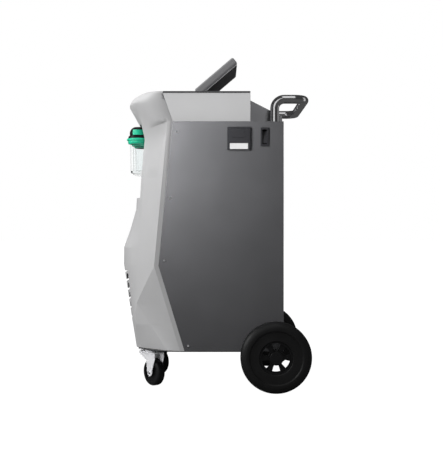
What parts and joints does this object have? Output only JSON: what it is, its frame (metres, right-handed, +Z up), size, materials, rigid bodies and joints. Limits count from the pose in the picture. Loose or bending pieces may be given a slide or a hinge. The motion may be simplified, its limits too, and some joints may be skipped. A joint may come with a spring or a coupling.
{
  "type": "air conditioning recharge station",
  "caption": "Wheeled cabinet with tilting display, push handle, oil bottles, printer, tank, pump and fan that recovers and refills vehicle air conditioning refrigerant.",
  "frame": {"origin": "on the floor, under the middle of the machine's overall box", "axes": "+Z up, -Y is the front with the bottles, +Y the handle side, +X the side with the printer"},
  "size_m": [0.7072, 0.69, 1.2069],
  "materials": {
    "dark_sheet": "satin powder coat",
    "black_steel": "satin paint",
    "light_shell": "fine moulded grain",
    "dark_shell": "fine moulded grain",
    "display_grey": "fine moulded grain",
    "black_plastic": "satin",
    "green_plastic": "gloss",
    "clear_plastic": "clear moulded plastic",
    "screen_glass": "gloss",
    "paper": "paper",
    "chrome_tube": "polished",
    "zinc": "bright zinc plate",
    "rubber_tyre": "matt rubber",
    "rim_plastic": "satin moulded",
    "brass_fitting": "machined",
    "aluminium_block": "machined",
    "tank_paint": "gloss paint",
    "cast_body": "painted casting"
  },
  "bodies": {
    "cabinet": {"base_tray": "black_steel", "axle_shaft": "zinc", "axle_nuts": "zinc", "caster_plates": "zinc", "caster_bolts": "zinc", "side_panel_right": "dark_sheet", "side_panel_left": "dark_sheet", "panel_screws": "zinc", "front_cover": "light_shell", "top_console": "light_shell", "deck_plate": "dark_shell", "display_hinge": "black_steel", "handle_bar": "chrome_tube", "handle_clamps": "black_plastic", "rear_hood": "dark_sheet", "bottle_manifold": "black_plastic", "printer_housing": "black_plastic", "paper_roll": "paper", "switch_frame": "black_plastic", "back_panel": "dark_sheet", "mains_inlet": "black_plastic", "service_ports": "brass_fitting", "fan_shroud": "black_plastic", "condenser": "aluminium_block", "bulkhead": "zinc", "valve_block": "aluminium_block", "filter_drier": "tank_paint", "control_box": "black_steel", "tank_scale": "aluminium_block", "refrigerant_tank": "tank_paint", "vacuum_pump": "cast_body", "compressor": "cast_body"},
    "rear_wheel_right": {"rear_tyre_right": "rubber_tyre", "rear_rim_right": "rim_plastic", "rear_hub_cap_right": "rim_plastic"},
    "rear_wheel_left": {"rear_tyre_left": "rubber_tyre", "rear_rim_left": "rim_plastic", "rear_hub_cap_left": "rim_plastic"},
    "caster_right": {"caster_fork_right": "zinc", "caster_axle_right": "zinc"},
    "caster_roller_right": {"caster_wheel_right": "rubber_tyre"},
    "caster_left": {"caster_fork_left": "zinc", "caster_axle_left": "zinc"},
    "caster_roller_left": {"caster_wheel_left": "rubber_tyre"},
    "display": {"display_frame": "display_grey", "display_screen": "screen_glass", "display_back": "dark_shell"},
    "door": {"printer_door": "black_plastic"},
    "latch": {"printer_latch": "black_plastic"},
    "rocker": {"power_rocker": "black_plastic"},
    "fan": {"fan_rotor": "black_plastic"},
    "ring_1": {"lock_ring_1": "green_plastic"},
    "bottle_body_1": {"bottle_1": "clear_plastic"},
    "button_1": {"release_button_1": "green_plastic"},
    "ring_2": {"lock_ring_2": "green_plastic"},
    "bottle_body_2": {"bottle_2": "clear_plastic"},
    "button_2": {"release_button_2": "green_plastic"},
    "ring_3": {"lock_ring_3": "green_plastic"},
    "bottle_body_3": {"bottle_3": "clear_plastic"},
    "button_3": {"release_button_3": "green_plastic"}
  },
  "joints": [
    {"name": "rear_wheel_right_spin", "type": "hinge", "parent": "cabinet", "child": "rear_wheel_right", "pos_m": [0.322, 0.22, 0.125], "axis": [1, 0, 0], "continuous": true},
    {"name": "caster_right_swivel", "type": "hinge", "parent": "cabinet", "child": "caster_right", "pos_m": [0.135, -0.238, 0.12], "axis": [0, 0, 1], "continuous": true},
    {"name": "caster_right_roll", "type": "hinge", "parent": "caster_right", "child": "caster_roller_right", "pos_m": [0.15798, -0.21872, 0.05], "axis": [0.6428, -0.766, 0], "continuous": true},
    {"name": "rear_wheel_left_spin", "type": "hinge", "parent": "cabinet", "child": "rear_wheel_left", "pos_m": [-0.322, 0.22, 0.125], "axis": [1, 0, 0], "continuous": true},
    {"name": "caster_left_swivel", "type": "hinge", "parent": "cabinet", "child": "caster_left", "pos_m": [-0.135, -0.238, 0.12], "axis": [0, 0, 1], "continuous": true},
    {"name": "caster_left_roll", "type": "hinge", "parent": "caster_left", "child": "caster_roller_left", "pos_m": [-0.11202, -0.21872, 0.05], "axis": [0.6428, -0.766, 0], "continuous": true},
    {"name": "display_tilt", "type": "hinge", "parent": "cabinet", "child": "display", "pos_m": [0, -0.0495, 1.0865], "axis": [1, 0, 0], "range_deg": [-40, 25]},
    {"name": "printer_door_swing", "type": "hinge", "parent": "cabinet", "child": "door", "pos_m": [0.26275, 0.091, 0.93195], "axis": [0, -1, 0], "range_deg": [0, 75]},
    {"name": "printer_latch_press", "type": "slide", "parent": "door", "child": "latch", "axis": [-1, 0, 0], "range_m": [0, 0.0012], "stiffness_N_per_m": 800, "springref_m": -0.0005},
    {"name": "power_rocker_tilt", "type": "hinge", "parent": "cabinet", "child": "rocker", "pos_m": [0.253, 0.183, 0.9035], "axis": [0, 1, 0], "range_deg": [0, 16]},
    {"name": "fan_spin", "type": "hinge", "parent": "cabinet", "child": "fan", "pos_m": [0, 0.236, 0.62], "axis": [0, 1, 0], "continuous": true},
    {"name": "lock_ring_1_turn", "type": "hinge", "parent": "cabinet", "child": "ring_1", "pos_m": [-0.09, -0.281, 0.9], "axis": [0, 0, 1], "range_deg": [0, 60]},
    {"name": "bottle_1_pull", "type": "slide", "parent": "cabinet", "child": "bottle_body_1", "axis": [0, 0, -1], "range_m": [0, 0.06]},
    {"name": "release_button_1_press", "type": "slide", "parent": "cabinet", "child": "button_1", "axis": [-1, 0, 0], "range_m": [0, 0.002], "stiffness_N_per_m": 800, "springref_m": -0.0005},
    {"name": "lock_ring_2_turn", "type": "hinge", "parent": "cabinet", "child": "ring_2", "pos_m": [0, -0.281, 0.9], "axis": [0, 0, 1], "range_deg": [0, 60]},
    {"name": "bottle_2_pull", "type": "slide", "parent": "cabinet", "child": "bottle_body_2", "axis": [0, 0, -1], "range_m": [0, 0.06]},
    {"name": "release_button_2_press", "type": "slide", "parent": "cabinet", "child": "button_2", "axis": [-1, 0, 0], "range_m": [0, 0.002], "stiffness_N_per_m": 800, "springref_m": -0.0005},
    {"name": "lock_ring_3_turn", "type": "hinge", "parent": "cabinet", "child": "ring_3", "pos_m": [0.09, -0.281, 0.9], "axis": [0, 0, 1], "range_deg": [0, 60]},
    {"name": "bottle_3_pull", "type": "slide", "parent": "cabinet", "child": "bottle_body_3", "axis": [0, 0, -1], "range_m": [0, 0.06]},
    {"name": "release_button_3_press", "type": "slide", "parent": "cabinet", "child": "button_3", "axis": [-1, 0, 0], "range_m": [0, 0.002], "stiffness_N_per_m": 800, "springref_m": -0.0005}
  ]
}
